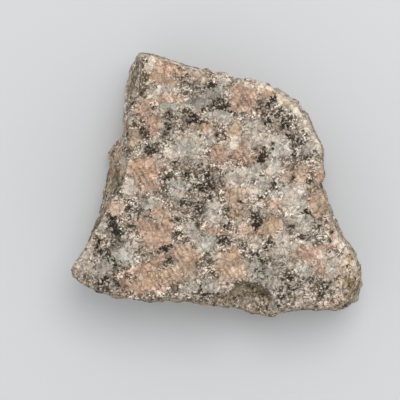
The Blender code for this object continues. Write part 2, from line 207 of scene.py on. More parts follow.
MICA = [
    (-1.4, 28.2, 3.4, 2.8, 90), (-1.6, 31.8, 4, 2, -30), (0.5, 23.5, 3, 2, 60), (-1.9, 20.8, 2.6, 2.2, 0),
    (3.5, 21, 3, 1, -20), (1, 21.8, 3, 1.6, 0), (14.5, 17.4, 3, 2, 0), (-9, 20.5, 3, 2.5, 0),
    (-3.2, 21.6, 2.4, 1.5, 20), (-12.8, -20.8, 2.6, 1.3, 30), (-6, 18.5, 4, 2, 0), (-7.5, 18, 2.5, 2, 0),
    (-14, 20, 2, 2, 0), (-14, 16, 3.5, 1.5, 80), (-18, 23, 3, 1.5, -50), (-20, 13.5, 2, 1.5, 0),
    (-18.5, 9.5, 3.5, 2, 0), (-23, 28.5, 3.5, 2, 90), (-22.5, 16, 3.5, 1, -10), (-24, 23, 2, 1.5, 60),
    (16.5, 19.5, 3.5, 1.5, 0), (15.5, 24, 3, 1.5, 0), (14.5, 22.5, 2.5, 1.5, 60), (18.5, 16, 4.5, 3, 60),
    (18, 14, 1.5, 1.5, 0), (21, 13, 3, 2, 0), (22.5, 12.5, 3, 1.5, 0), (21, 10.5, 2, 1.5, 0),
    (12.5, 7.6, 5.2, 3.8, 60), (11.5, 6.5, 3, 2, 0), (15.5, 10, 3, 1.5, 90), (0, 12.5, 3, 1, 90),
    (-2.5, 3.5, 2.5, 2, 90), (-5, 5.5, 2, 1.5, 0), (-8, 3.5, 2, 1.5, 0), (-3.5, -0.5, 3, 2, 0),
    (-6.5, -0.5, 2, 1.5, 0), (0, -0.5, 3, 1, 0), (1.5, 0, 2, 1.5, 0), (-1, -2.5, 2, 1, -45),
    (3, 3, 3.5, 1, 25), (-2.5, -3.5, 1.5, 1.5, 0), (-9.5, -5, 3, 2, 0), (-5.5, -5.5, 2, 1, 0),
    (-5, -7.5, 2.5, 2.5, 0), (-12, 6, 3.5, 2, 0), (-14, 2, 2, 1.5, 70), (12.8, -2.7, 2.2, 1, 0),
    (16.5, -0.5, 3, 1, -60), (12.5, -3.5, 3, 1, 0), (10.5, -8.5, 3.5, 3, 0), (10.5, -11.5, 3, 2, 0),
    (7.5, -5, 2, 1, 0), (-29.8, -10.8, 5.5, 4, 90), (-30.5, -20.5, 3, 2.2, 0), (-28.6, -13.5, 4.8, 3, -25),
    (-34.5, -16.5, 3, 1.5, -70), (-31.2, -19.8, 3.2, 2.6, 60), (-29, -22.2, 3, 2.2, 0),
    (-33, -27.4, 3.2, 3, 0), (-29, -29.5, 3.5, 1.5, 0), (-26, -30, 2, 1, -30), (-37.5, -18, 1.5, 1, 0),
    (-15, -18.6, 4.2, 2.6, 10), (-14, -22.5, 2, 1.5, 0), (-12, -14, 3, 2, 0), (-6, -11.5, 3.5, 1, -45),
    (-4.5, -13, 2, 1, -45), (1, -16, 3.5, 3, 0), (2.5, -11.5, 2, 1, 90), (9, -19, 3, 1, -25),
    (10.5, -20.8, 3.6, 2, -20), (13, -22, 3, 1.5, 0), (12.5, -24.8, 3, 1.6, 0), (10, -25.5, 2.4, 1.2, 20),
    (15, -26, 1.5, 1.5, 0), (14, -27, 1.5, 1, 0), (21, -26, 2, 1.5, 0), (21.5, -29.5, 3, 2, 0),
    (19, -27.5, 2, 1.5, 90), (17.5, -31.5, 2, 1, 0), (26, -8, 2.5, 2, 0), (28, -13, 1.5, 1.5, 0),
    (30, -13, 1, 1, 0), (24.5, -15, 3, 1, 0), (22, -11.5, 1.5, 1, 0), (15, -16.5, 3, 2, 0),
    (20.5, 7, 2.5, 1.5, 0), (25.5, 7.5, 2.5, 1.5, 0), (20.5, 1.5, 2, 1, 80), (33.5, -13.5, 2, 1.5, 0),
    (32.5, -19, 2.5, 1, 0), (30.5, -29.5, 2, 1.5, 0), (33, -28, 2, 1, 0), (38, -28.5, 3.5, 2, 90),
    (2.5, -32.5, 2, 1.5, 0), (-4.5, -28.5, 2.5, 1.5, -60), (-3, -31.5, 2.5, 1, 0), (5, -31.5, 3, 1, 0),
    (-12.5, -10, 2, 1.5, -50),
]
OCHRE = [
    (-16.5, 30.3, 8, 2.4, -10), (4.5, -20, 3.5, 2.5, 80), (2.5, -24.5, 4, 2, 0), (-11.5, -28, 3.5, 2, 0),
    (-14, -10.5, 3.5, 3, 0), (32.5, -33, 3.5, 2, 20), (15, -11.5, 4, 3, 0), (-3.5, 16.3, 3.5, 1.2, 0),
    (-6.5, -21.5, 5, 3, -30), (39, -30.5, 4, 2, 100), (5, 26, 3, 2, 90), (-1, -23.5, 3, 1.5, 70),
    (-22.5, 5, 3.5, 2.5, 0), (-18.5, 3.5, 4.5, 3, 0), (-17, -26, 8, 3, 5), (-20, -21.8, 8, 1.8, 20),
]
# Places where fine mica is peppered between the grains, in the same order.
PEPPERED = [
    (-4, 24, 9, 9, 0), (-7, 18.5, 7, 4, 0), (-14, 18.5, 8, 5, 90), (-20.5, 18.5, 9, 7, 90),
    (-4.5, 28.3, 6, 3, 0), (14, 22, 9, 5, 100), (17.5, 16.5, 7, 6, -45), (22, 13, 9, 4, -60),
    (24.5, 8, 8, 3.5, 0), (-5, 1.5, 14, 8, 0), (-5, -7.5, 6, 5, 0), (-9.5, -6, 7, 5, 0),
    (-20.5, -7, 9, 5, 0), (-24, -13, 6, 3, 90), (-31, -17, 8, 6, 0), (-32, -25, 7, 7, 0),
    (-28.5, -29, 6, 3, 0), (13, -23, 10, 8, -30), (19.5, -28.5, 10, 9, 0), (30.5, -28, 8, 7, 0),
    (21.5, -11.5, 4, 3, 0), (27.5, -9.5, 6, 5, 90), (11, -9.5, 5, 3, 90), (-15, -20.5, 7.5, 6.5, 0),
    (-2.5, -20.5, 3, 2, 0), (27, -1, 7, 5, 90), (21, 3, 5, 2, 90), (-1, -31.5, 8, 4, 0),
    (0.5, 22.5, 6, 5, 0), (2.5, 20, 6, 5, 0), (14.5, 18.5, 6, 6, 0), (-25.5, -17.5, 5, 4, 0),
    (-28.5, -22, 6.5, 4, 0), (-13.5, 13.5, 6, 5, 0), (-7.5, 6.5, 6, 4, 0), (5, -6, 8, 7, 90),
    (-7.5, -18, 5, 4, 0), (-18.5, 10, 6, 4, 0),
]
# The level down to which those grains are the ones seen from above. Then each mineral's placed grains, and
# those scattered over the rest of the surface: how many, and the least and most of their half-sizes.
TOP_LEVEL = 30.5
GRAINS = {
    "pink": (PINK_FELDSPAR, 90, 1.4, 3.6),
    "tan": (TAN_FELDSPAR, 90, 1.4, 3.8),
    "pale": (PALE_FELDSPAR, 110, 1.2, 3.4),
    "quartz": (QUARTZ, 110, 1.4, 3.6),
    "mica": (MICA, 260, 0.6, 1.7),
    "ochre": (OCHRE, 50, 1.2, 3.5),
    "pepper": (PEPPERED, 110, 2.0, 5.0),
}
SCATTER_LEVEL = 28.0
SQUASH = (0.55, 1.0)
FIELD_LEAST = -4.0
WARP_SIZE, WARP_REACH = 2.6, 0.9
FINE_WARP_SIZE, FINE_WARP_REACH = 1.2, 0.4

# Weathering and painted light in the wall, the scoop and the pale rim: the middle and radius of each.
# Olive weathering, partly painted shade: in the scoop, on the near wall and at the left edge, turned from the
# light.
OLIVE_STAINS_AND_SHADE = [
    (7.5, -29, 26, 4), (12, -30.5, 24, 3.5), (40, -30.5, 12, 4), (36.5, -34.5, 18, 3), (-25.6, 28, 16, 4.5),
    (-23.5, 34.5, 22, 3), (-35, -13, 22, 4), (-29.5, 2, 20, 4.4), (-8, -33.5, 27, 2.8),
    (-22, -33, 25.5, 2.6), (28, -36, 23, 2.4), (17, 28, 15, 2), (33, -8, 12, 2.6), (38.2, -28, 26, 2.2),
    (39, -31.5, 21, 2.8), (-25, 30, 20, 2.5), (-25.3, 25.5, 23, 2), (-22, 31.5, 32, 2), (-22, 27, 32, 2),
    (-22, 35, 32, 1.5),
]
OCHRE_STAINS = [
    (-29.5, 11, 9, 3.5), (-31.2, 6.5, 9, 3.5), (-32, -2, 12, 3), (31, 4, 18, 3.5), (38, -21.5, 26, 2.2),
    (39.5, -26.5, 24, 1.8), (40.5, -25, 14, 4.5), (38, -34, 12, 3.5), (12, -36.5, 13, 4.5),
    (17, -36.5, 15, 3), (36, -15, 16, 4), (-38, -22, 20, 3.5), (-2, -34, 22, 3.5), (-14, 36, 20, 4),
    (-40.5, -24.5, 24, 1.8),
]
# Painted highlight: a pale band along the rims that face the light.
RIM_HIGHLIGHT_PATCHES = [
    (-19.5, 37.2, 28, 2.6), (-15.5, 36, 28, 2.6), (-11.5, 35, 28, 2.4), (-8, 34, 28, 2.2),
    (4.5, 31.2, 27, 2.2), (9, 30.4, 27, 2.4), (14, 29, 27, 2.6), (28.5, 14, 26, 3), (-4, 32.9, 31, 1.8),
    (-0.5, 31.8, 31.5, 1.7), (3, 30.8, 32, 1.8), (8, 29.7, 32, 2.2), (12, 28.8, 31.5, 2.5),
    (15.5, 28, 31, 2.2), (18.5, 26.3, 31.5, 2.8), (21, 24.3, 31, 3.1), (23.3, 21.8, 31, 3),
    (25.2, 19, 31, 2.7), (27, 16, 31, 2.2), (28.3, 13, 32, 2), (29.3, 10.3, 32, 1.4),
    (38.5, -22.5, 26, 3.2), (38.3, -25.5, 26, 2.4), (20, 25, 26, 4), (25, 19.5, 26, 4),
    (35.3, -17, 29, 1.3), (37.2, -19.3, 28, 1.3),
]
# Olive places carry painted shade as well as stain; the pale rim places are painted highlight.
STAINS_AND_PAINTED_LIGHT = {"olive_and_shade": OLIVE_STAINS_AND_SHADE, "rust": OCHRE_STAINS, "rim_highlight": RIM_HIGHLIGHT_PATCHES}
STAIN_AND_LIGHT_HEIGHT = 1.6

# The weathered skin of the wall and base: how steep a face must be to have it, and how patchy it is.
WALL_FACING = (0.9, 0.55)
SKIN_PATCH_SIZE = 7.0
SKIN_PATCH_SHARE = 0.35
# Painted light: far walls face the light, so have less dark skin: how much less, and how squarely they face.
LIT_SIDE_SHARE = 0.85
LIT_SIDE_FACING = 0.6

# The sizes in millimetres of the cells that the material is made of: blocks in a crystal, grains, and grit.
BLOCK_CELL = 2.6
GRAIN_CELL = 1.15
GRIT_CELL = 0.45
# The sizes in millimetres of the smooth changes over it, and how strong the finer detail of some of them is.
WANDER_SIZE, WANDER_REACH = 0.9, 0.85
CRUMBLE_SIZE = 4.5
PATCH_SIZE, PATCH_SPAN = 3.5, (0.35, 0.65, 0.2, 1.0)
SHADE_SIZE = 3.2
VEIN_SIZE = 1.5
WISP_SIZE = 0.7
RELIEF_SIZE = 0.6
FINE_DETAIL = 3.0
SHADE_FALL, ROUGH_FALL = 0.6, 0.7
NOISE_MIDDLE = (0.5, 0.5, 0.5)

# Colours as they are seen under the studio light, and the share of the light that a white surface returns.
# Then the curve from a seen value to light: a straight start up to its end, then a power.
SEEN_SHARE = 0.78
STRAIGHT_END, STRAIGHT_SLOPE = 0.04045, 12.92
POWER_OFFSET, POWER = 0.055, 2.4
GROUND = ((190, 174, 158), (202, 191, 177))
BLUSH = (206, 172, 148)
SKIN = (178, 154, 120)
# Painted highlight on the rims that catch the light.
HIGHLIGHT_CREAM = (226, 213, 196)
# Olive stain, also painted shade in the scoop and on the walls turned from the light.
OLIVE_AND_SHADE = (122, 110, 72)
RUST = (198, 160, 118)
GLEAM = (222, 213, 201)
BROWN_MICA = ((100, 84, 64), (78, 66, 52))
BLACK_MICA = ((28, 23, 14), (10, 8, 5))
MICA_GLINT = (112, 107, 98)
# Each mineral's two colours, how far chance may carry it past its grain's edge, and how much it covers. Each
# is laid over those before it.
MINERALS = {
    "quartz": ((204, 199, 186), (178, 170, 157), 2.2, 1.0),
    "tan": ((208, 178, 150), (194, 158, 126), 2.8, 0.52),
    "pale": ((226, 212, 198), (216, 205, 190), 2.6, 0.75),
    "pink": ((212, 176, 154), (196, 150, 124), 2.6, 0.6),
    "ochre": ((190, 156, 116), (170, 134, 94), 2.6, 0.4),
}
# The least that a mineral's field counts, so that chance alone doesn't bring it in, and how soft its edge is.
HELD_LEAST = -1.6
HELD_EDGE = 0.2
# How the depths in a patch of pepper count, and those in a clear crystal, where a blush counts by this much.
PEPPER_DEPTHS = (-1.0, 1.2)
CLEAR_DEPTHS = (-0.8, 0.8)
CLEAR_BLUSH = 0.8
# The ground takes a blush between these depths outside the pink and tan grains.
BLUSH_REACH = (-3.2, 0.0)
BLUSH_COVER = 0.4
# The stains and painted light: how far chance may carry each past its edge, and how much it covers.
SKIN_COVER = 0.55
# Painted highlight on the rims.
RIM_HIGHLIGHT_SPREAD, RIM_HIGHLIGHT_COVER = 1.8, 0.9
# Olive stain with painted shade.
OLIVE_AND_SHADE_SPREAD, OLIVE_AND_SHADE_COVER = 3.4, (0.3, 0.7)
RUST_SPREAD, RUST_COVER = 3.4, 0.85

# Growth bands in the feldspar: how far apart they are, the direction across them, how strong they are, and
# the depths in a crystal and the crumble at which they show.
BAND_SIZE = 1.3
BAND_ACROSS = (0.86, 0.5, 0.1)
BAND_SHADE = 0.16
BAND_DEPTHS = (-0.3, 1.0)
BAND_CRUMBLE = (0.4, 0.55)

# The half-width of the dark veins between grains, in millimetres: a start, and what each thing adds to it.
# Then how soft the edge of a vein is.
VEIN_START = -0.54
VEIN_UNEVEN = 0.9
VEIN_CRUMBLE = 0.3
VEIN_SKIN = 0.03
VEIN_CLEAR = -0.12
VEIN_PEPPER = (-0.19, 0.46)
VEIN_MICA = (-0.53, 1.35)
VEIN_CLOT = 0.3
VEIN_EDGE = (-0.04, 0.05)
# How the depth in a mica grain counts as mica, and then as a solid clot.
MICA_DEPTHS, MICA_MOST = (-0.7, 1.5), 1.5
CLOT_DEPTHS = (0.8, 1.6)

# How strongly each grit cell stands out: a start, and what each thing adds to it.
WILD_START = -2.0
WILD_PEPPER = -0.45
WILD_CRUMBLE = 4.5
WILD_BLOCK = 0.9
WILD_CLEAR = -1.1
WILD_LEAST = 0.15

# How bright the stone is: a start, and what each thing adds to it.
BRIGHT_START = 0.15
BRIGHT_SHADE = 0.65
BRIGHT_PEPPER = -0.12
BRIGHT_BLOCK = 0.32
BRIGHT_GRAIN = 0.22
# Painted highlight lightens the rims.
BRIGHT_RIM_HIGHLIGHT = 0.05
# Painted shade darkens the scoop and walls under the greenish-brown stain.
BRIGHT_PAINTED_SHADE = -0.1
BRIGHT_RIM = 0.16
BRIGHT_LEAST = 0.2
# The same for one grit cell, of which a few flash, and how bright a gleam is and how much it covers.
GRIT_START = -0.85
GRIT_SHADE = 1.82
GRIT_FLASH, FLASH_FROM = 0.4, 0.88
GLEAM_FROM, GLEAM_COVER = (0.95, 1.35), 0.5
# The light rim beside a vein: how far from the vein it is, half its width, and the veins that have it.
RIM_PLACE, RIM_WIDTH, RIM_VEINS = 0.15, 0.1, (-0.02, 0.08)

# How the dark mica fills the finest lines, single grit cells and the seams between blocks, how much it covers
# by the width of the veins, the widths over which it goes from brown to black, and its glints.
LINE_START, LINE_WIDTH, LINE_COVER, LINE_EDGE = -0.02, 0.55, 0.85, (-0.03, 0.04)
CRUMB_START, CRUMB_SHARE, CRUMB_CHANCE, CRUMB_EDGE = -0.08, 1.35, -0.55, (-0.02, 0.03)
SEAM_REACH, SEAM_COVER = (0.02, 0.17), 0.8
COVER_WIDTHS, MICA_COVER = (0.0, 0.2), (0.68, 0.97)
BLACK_FROM = (0.12, 0.29)
GLINT_COVER = 0.5

# The surface: how matt its cells are, how much it reflects, and its finest relief in millimetres.
MATT = (0.42, 0.85)
SPECULAR = 0.25
FACET_TILT, FINE_RELIEF, VEIN_DEPTH = 0.65, 0.35, -0.08

# The floor's colour, and the studio's one soft light and pale surround.
FLOOR_COLOUR = (0.612, 0.622, 0.632, 1.0)
FLOOR_HALF = 2.0
FLOOR_MATT = 0.9
LIGHT_PLACE = (0.1, 0.22, 0.72)
LIGHT_SIZE = 0.45
LIGHT_ENERGY = 2.4
SURROUND_COLOUR = (0.985, 0.992, 1.0, 1.0)
SURROUND_STRENGTH = 0.79

# The camera looks straight down from this place, in millimetres, and its view is this wide at the view level.
CAMERA_PLACE = (-4.86, -4.25, 700.0)
VIEW_LEVEL = 12.0
VIEW_WIDTH = 115.6
SENSOR_WIDTH = 36.0


def outline_side(points, shares):
    """Points of one side of the outline at these shares of its length, along straight breaks."""
    points = np.array(points)
    steps = np.hypot(*np.diff(points, axis=0).T)
    along = np.concatenate([[0.0], np.cumsum(steps)])
    at = shares * along[-1]
    return np.stack([np.interp(at, along, points[:, 0]), np.interp(at, along, points[:, 1])], axis=-1)


def outline_point(turn):
    """The outline point at a turn from 0 to 4, one unit for each side.

    It is the mean of the points a little before, at and after that turn, which wears the corners.
    """
    sides = [FAR_SIDE, RIGHT_SIDE, NEAR_SIDE, LEFT_SIDE]
    lengths = [np.hypot(*np.diff(np.array(side), axis=0).T).sum() for side in sides]
    total = np.zeros((len(turn), 2))
    reaches = (-1.0, 0.0, 1.0)
    for reach in reaches:
        side = np.floor(turn).astype(int) % 4
        shifted = turn + reach * CORNER_SOFTNESS / np.take(lengths, side)
        side = np.floor(shifted).astype(int) % 4
        share = shifted - np.floor(shifted)
        for number, points in enumerate(sides):
            here = side == number
            total[here] += outline_side(points, share[here])
    return total / len(reaches)


def eased(share):
    """A share from 0 to 1 that starts and ends gently: three times its square, less twice its cube."""
    return share * share * (3.0 - 2.0 * share)


def value_noise(points, size, seed):
    """Smooth unevenness: random heights from -1 to 1 on a cubic lattice, blended between its corners."""
    heights = np.random.default_rng(seed).uniform(-1.0, 1.0, (TABLE_SIDE,) * 3)
    place = points / size
    cell = np.floor(place).astype(int)
    share = eased(place - cell)
    total = np.zeros(len(points))
    for corner in itertools.product((0, 1), repeat=3):
        x, y, z = ((cell + corner) % TABLE_SIDE).T
        weight = np.prod(np.where(corner, share, 1.0 - share), axis=1)
        total += weight * heights[x, y, z]
    return total


def broken_plates(points, size, tilt, seed, dome=0.0):
    """Broken faces: space is shared among scattered centres, and near each the height is a tilted plane.

    The height is the mean of the planes around, each weighted by exp(-sharpness * distance squared). A dome
    takes that much times the distance squared from each, so that the faces bulge and meet in creases.
    """
    random = np.random.default_rng(seed)
    centres = random.uniform(*CENTRE_RANGE, (TABLE_SIDE, TABLE_SIDE, TABLE_SIDE, 3))
    slopes = random.uniform(-tilt, tilt, (TABLE_SIDE, TABLE_SIDE, TABLE_SIDE, 3))
    place = points / size
    cell = np.floor(place).astype(int)
    height = np.zeros(len(points))
    weights = np.full(len(points), LEAST_WEIGHT)
    for step in itertools.product((-1, 0, 1), repeat=3):
        at = cell + step
        x, y, z = (at % TABLE_SIDE).T
        away = place - at - centres[x, y, z]
        far = (away**2).sum(axis=1)
        weight = np.exp(-PLATE_SHARPNESS * far)
        height += weight * ((away * slopes[x, y, z]).sum(axis=1) - dome * far)
        weights += weight
    return size * height / weights


def resting_height(points, normals, height):
    """The roughness, sunk in on the base so that only its resting spots reach the surface."""
    spots = np.zeros(len(points))
    wander = SPOT_WANDER * value_noise(points, LUMP_SIZE, SPOT_SEED)
    for (x, y), radius in RESTING_SPOTS:
        away = np.hypot(points[:, 0] - x, points[:, 1] - y) / radius
        spots = np.maximum(spots, eased(np.clip(SPOT_SPREAD + wander - away, 0.0, 1.0)))
    down = np.clip(-normals[:, 2], 0.0, 1.0) ** 2
    sunk = np.minimum(height - BASE_RELIEF, -BASE_LEAST)
    return height + down * ((1.0 - spots) * sunk + spots * BASE_PRESS - height)


def smooth_max(a, b, softness):
    """The larger of two fields, with the edge between them rounded over about the softness."""
    share = np.clip(0.5 + 0.5 * (a - b) / softness, 0.0, 1.0)
    return b + (a - b) * share + softness * share * (1.0 - share)


def wall_field(points, outline):
    """Distance outside the wall: its radius is the outline's, less a lean that grows from the widest line."""
    azimuth = np.degrees(np.arctan2(outline[:, 1], outline[:, 0]))
    faces = np.array(WALL_FACES)
    level, lean_up, lean_down = (
        np.interp(azimuth, faces[:, 0], column, period=360.0) for column in faces[:, 1:].T
    )
    height = points[:, 2]
    above = np.clip((height - level) / (HEIGHT - level), 0.0, FURTHEST_LEAN)
    below = np.clip((level - height) / level, 0.0, FURTHEST_LEAN)
    lean = lean_up * above + lean_down * below
    return np.hypot(points[:, 0], points[:, 1]) - np.hypot(*outline.T) + lean


def flat_break_field(points, place, azimuth, tilt):
    """Distance outside a flat break through a point, facing an azimuth and tilted from level."""
    azimuth, tilt = math.radians(azimuth), math.radians(tilt)
    normal = (math.sin(tilt) * math.cos(azimuth), math.sin(tilt) * math.sin(azimuth), math.cos(tilt))
    return (points - place) @ np.array(normal)


def hollow_field(points, centre, half_sizes):
    """About the distance inside an ellipsoid, so that it is positive where the flake came away."""
    spread = np.linalg.norm((points - centre) / half_sizes, axis=1)
    return (1.0 - spread) * min(half_sizes)


def stone_field(points, outline):
    """Distance outside the smooth stone: the greatest of its wall, flat breaks, hollows and base."""
    field = wall_field(points, outline)
    for place, azimuth, tilt in FLAT_BREAKS.values():
        field = smooth_max(field, flat_break_field(points, place, azimuth, tilt), BREAK_SOFTNESS)
    for centre, half_sizes in HOLLOWS.values():
        field = smooth_max(field, hollow_field(points, centre, half_sizes), HOLLOW_SOFTNESS)
    return smooth_max(field, -points[:, 2], BREAK_SOFTNESS)


def first_crossing(core, out, outline):
    """How many times out each ray from the core goes before it first leaves the smooth stone."""
    low, high = np.zeros(len(core)), np.full(len(core), FURTHEST)
    leaving = np.zeros(len(core), bool)
    for reach in np.linspace(0.0, FURTHEST, COARSE_STEPS + 1)[1:]:
        outside = stone_field(core + out * reach, outline) > 0.0
        high = np.where(outside & ~leaving, reach, high)
        leaving |= outside
        low = np.where(leaving, low, reach)
    for _ in range(HALVINGS):
        middle = (low + high) / 2.0
        outside = stone_field(core + out * middle[:, None], outline) > 0.0
        low, high = np.where(outside, low, middle), np.where(outside, middle, high)
    return low


def stone_normals(points, outline):
    """The way that the smooth stone faces at each point: the slope of its field."""
    slopes = [
        stone_field(points + step, outline) - stone_field(points - step, outline)
        for step in np.eye(3) * NORMAL_STEP
    ]
    return np.stack(slopes, axis=1) / np.linalg.norm(slopes, axis=0)[:, None]


def smooth_stone(box):
    """Each point of a cube from -1 to 1 carried out to the smooth stone, with the way out and the facing.

    A cube point's larger of |x| and |y| is its share of the way out to the outline, and its place round
    the cube is its place round the outline. From a flat core it moves straight out until it leaves the
    smooth stone.
    """
    x, y, up = box.T
    share = np.maximum(np.abs(x), np.abs(y))
    safe = np.where(share > 0.0, share, 1.0)
    u, v = x / safe, y / safe
    turn = np.select(
        [(v >= 1.0) & (u < 1.0), (u >= 1.0) & (v > -1.0), (v <= -1.0) & (u > -1.0)],
        [(u + 1.0) / 2.0, 1.0 + (1.0 - v) / 2.0, 2.0 + (1.0 - u) / 2.0],
        3.0 + (v + 1.0) / 2.0,
    )
    outline = outline_point(turn)
    rim = outline * share[:, None]
    core = np.column_stack([CORE_SHARE * rim, np.full(len(box), CORE_LEVEL)])
    out = np.column_stack([(1.0 - CORE_SHARE) * rim, up * HEIGHT / 2.0])
    points = core + out * first_crossing(core, out, outline)[:, None]
    way = out / np.linalg.norm(out, axis=1)[:, None]
    return points, way, stone_normals(points, outline)


def grain_depth(points, middle, half_sizes, turn):
    """Depth inside a grain, negative outside: one less the distance in half-sizes, times their mean."""
    away = points - middle
    cos, sin = math.cos(turn), math.sin(turn)
    along = (away[:, 0] * cos + away[:, 1] * sin) / half_sizes[0]
    across = (away[:, 1] * cos - away[:, 0] * sin) / half_sizes[1]
    down = away[:, 2] / half_sizes[2]
    return (1.0 - np.sqrt(along**2 + across**2 + down**2)) * np.mean(half_sizes)


def mineral_field(points, placed, scattered, seed):
    """Depth inside the nearest grain of one mineral: the greatest over its placed and scattered grains.

    Placed grains reach down to the top level as upright columns, and round off below it over a third of
    their length and width together.
    """
    field = np.full(len(points), FIELD_LEAST)
    from_top = points.copy()
    from_top[:, 2] = np.minimum(points[:, 2] - TOP_LEVEL, 0.0)
    for x, y, length, width, turn in placed:
        half_sizes = (length / 2.0, width / 2.0, (length + width) / 3.0)
        middle = np.array([x, y, 0.0])
        field = np.maximum(field, grain_depth(from_top, middle, half_sizes, math.radians(turn)))
    random = np.random.default_rng(seed)
    lower = points[points[:, 2] < SCATTER_LEVEL]
    count, least, most = scattered
    for _ in range(count):
        middle = lower[random.integers(len(lower))]
        half_sizes = random.uniform(least, most) * random.uniform(*SQUASH, 3)
        field = np.maximum(field, grain_depth(points, middle, half_sizes, random.uniform(0.0, math.pi)))
    return field


def stain_and_light_field(points, stains):
    """Depth inside the nearest stain or patch of painted light, each a ball stretched upwards by the patch
    height.
    """
    field = np.full(len(points), FIELD_LEAST)
    for x, y, z, radius in stains:
        half_sizes = (radius, radius, radius * STAIN_AND_LIGHT_HEIGHT)
        field = np.maximum(field, grain_depth(points, np.array([x, y, z]), half_sizes, 0.0))
    return field


def warped(points):
    """The points moved about by two sizes of smooth noise, so that grains have ragged edges."""
    kinds = ((WARP_SIZE, WARP_REACH), (FINE_WARP_SIZE, FINE_WARP_REACH))
    moved = points.copy()
    for number, (size, reach) in enumerate(kinds):
        for axis in range(3):
            moved[:, axis] += reach * value_noise(points, size, WARP_SEED + 3 * number + axis)
    return moved


def mineral_fields(points):
    """The field of each mineral, stain and patch of painted light over the surface, by name."""
    moved = warped(points)
    fields = {
        name: mineral_field(moved, placed, scattered, MINERAL_SEED + number)
        for number, (name, (placed, *scattered)) in enumerate(GRAINS.items())
    }
    return fields | {name: stain_and_light_field(moved, stains) for name, stains in STAINS_AND_PAINTED_LIGHT.items()}


def steepness(normals):
    """How much each point belongs to the walls: none where it faces up, all where it faces aside or down."""
    return np.clip((WALL_FACING[0] - normals[:, 2]) / (WALL_FACING[0] - WALL_FACING[1]), 0.0, 1.0)


def weathered_skin_less_where_lit(points, normals):
    """How much of the weathered skin each point has: none on the newly broken top, most on steep wall faces.
    """
    patchy = 1.0 - SKIN_PATCH_SHARE * (0.5 + 0.5 * value_noise(points, SKIN_PATCH_SIZE, SKIN_SEED))
    # Painted light: walls facing the far side, towards the light, are given less of the dark skin.
    lit_side = LIT_SIDE_SHARE * np.clip(normals[:, 1] / LIT_SIDE_FACING, 0.0, 1.0)
    return steepness(normals) * patchy * (1.0 - lit_side)


def roughness(points, normals, fields):
    """Height of the broken surface: swells, lumps, and the tilted faces of plates, crystals and grains.

    Quartz breaks smoother than the rest, the walls are worn smoother too, and mica is worn in a little.
    """
    calm = (1.0 - QUARTZ_CALM * np.clip(fields["quartz"], 0.0, 1.0)) * (1.0 - WALL_CALM * steepness(normals))
    mica = np.clip(fields["mica"] + MICA_MARGIN, 0.0, 1.0)
    grains = (
        broken_plates(points, GRAIN_SIZE, GRAIN_TILT, GRAIN_SEED, GRAIN_DOME)
        + broken_plates(points, GRIT_SIZE, GRIT_TILT, GRIT_SEED, GRAIN_DOME)
        + CRUMB_HEIGHT * value_noise(points, CRUMB_SIZE, CRUMB_SEED)
    )
    return (
        SWELL_HEIGHT * value_noise(points, SWELL_SIZE, SWELL_SEED)
        + LUMP_HEIGHT * value_noise(points, LUMP_SIZE, LUMP_SEED)
        + broken_plates(points, PLATE_SIZE, PLATE_TILT, PLATE_SEED)
        + broken_plates(points, CRYSTAL_SIZE, CRYSTAL_TILT, CRYSTAL_SEED)
        + grains * calm
        - MICA_SINK * mica
    )


def box_grid():
    """Corner places of a cube from -1 to 1 cut into cells, and its quads, all facing outwards.

    Each of the six sides is a sheet of two counts, a and b, and sheets share the points of their edges:
    points with the same three counts are one.
    """
    last = np.array([CELLS_ACROSS, CELLS_ACROSS, CELLS_UP])
    upper = [(0, 1, 2, True), (1, 2, 0, True), (2, 0, 1, True)]
    lower = [(1, 0, 2, False), (2, 1, 0, False), (0, 2, 1, False)]
    places, quads, first = [], [], 0
    for a_axis, b_axis, fixed, at_end in upper + lower:
        a_count, b_count = last[a_axis] + 1, last[b_axis] + 1
        a, b = np.meshgrid(np.arange(a_count), np.arange(b_count), indexing="ij")
        sheet = np.zeros((a_count * b_count, 3), int)
        sheet[:, a_axis] = a.ravel()
        sheet[:, b_axis] = b.ravel()
        sheet[:, fixed] = last[fixed] * at_end
        index = first + np.arange(a_count * b_count).reshape(a_count, b_count)
        corners = (index[:-1, :-1], index[1:, :-1], index[1:, 1:], index[:-1, 1:])
        quads.append(np.stack([corner.ravel() for corner in corners], axis=1))
        places.append(sheet)
        first += len(sheet)
    counts, shared = np.unique(np.concatenate(places), axis=0, return_inverse=True)
    return 2.0 * counts / last - 1.0, shared.ravel()[np.concatenate(quads)]


def mesh_of(name, points, faces):
    """A mesh with these points, in metres, and these quads."""
    mesh = bpy.data.meshes.new(name)
    mesh.vertices.add(len(points))
    mesh.vertices.foreach_set("co", points.ravel())
    mesh.loops.add(faces.size)
    mesh.loops.foreach_set("vertex_index", faces.ravel())
    mesh.polygons.add(len(faces))
    mesh.polygons.foreach_set("loop_start", np.arange(0, faces.size, 4))
    mesh.polygons.foreach_set("loop_total", np.full(len(faces), 4))
    mesh.update(calc_edges=True)
    mesh.validate()
    return mesh


def in_scene(name, data):
    """A new object in the scene, with this mesh, lamp or camera."""
    thing = bpy.data.objects.new(name, data)
    bpy.context.scene.collection.objects.link(thing)
    return thing


